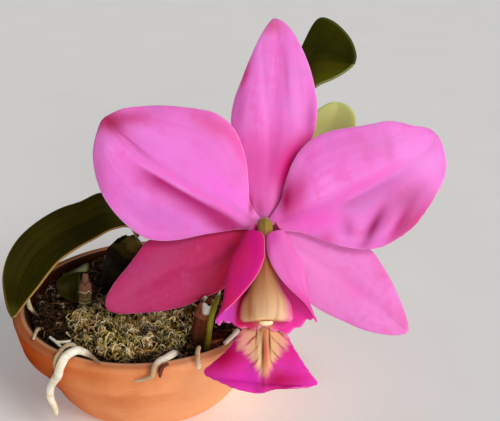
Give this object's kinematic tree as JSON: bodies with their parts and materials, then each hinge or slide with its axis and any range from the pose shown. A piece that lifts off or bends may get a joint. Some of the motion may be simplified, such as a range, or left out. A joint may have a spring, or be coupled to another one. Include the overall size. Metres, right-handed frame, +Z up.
{
  "type": "cattleya orchid",
  "caption": "Potted orchid: one broad open bloom with a fluted lip, fleshy leaves, swollen stems and pale roots over a shallow clay pan.",
  "frame": {"origin": "middle of the pot's flat foot, on the surface that the pot stands on", "axes": "+Z up; the flower looks towards -Y and a little upwards; +X is to the right of someone who faces the flower"},
  "size_m": [0.1522, 0.1071, 0.1304],
  "materials": {
    "terracotta": "matte",
    "fibre": "matte",
    "moss": "matte",
    "bulb": "satin",
    "dry_bulb": "matte",
    "paper": "matte",
    "stalk": "satin",
    "root": "matte",
    "dead_root": "matte",
    "leaf": "satin",
    "young_leaf": "satin",
    "tepal": "matte",
    "lip": "matte",
    "column": "satin",
    "anther": "matte"
  },
  "bodies": {
    "root": {"pot": "terracotta", "fern_fibre": "fibre", "moss_cover": "moss", "rhizome": "bulb", "pseudobulb_left": "bulb", "pseudobulb_small": "bulb", "pseudobulb_right": "bulb", "old_bulb": "dry_bulb", "sheath_left": "paper", "sheath_small": "paper", "sheath_old": "paper", "cut_stem": "stalk", "flower_stalk": "stalk", "stalk_bract": "paper", "root_main": "root", "root_back": "root", "root_front": "root", "root_front_stub": "dead_root", "root_right": "root", "root_rim_right": "root", "root_tip_left": "root", "root_bit_left": "root", "root_twigs": "root", "leaf_left": "leaf", "leaf_small": "leaf", "leaf_upper_right": "leaf", "leaf_right": "young_leaf", "sepal_dorsal": "tepal", "sepal_lower_left": "tepal", "sepal_lower_right": "tepal", "petal_left": "tepal", "petal_right": "tepal", "lip": "lip", "column": "column", "anther_cap": "anther"}
  },
  "joints": []
}
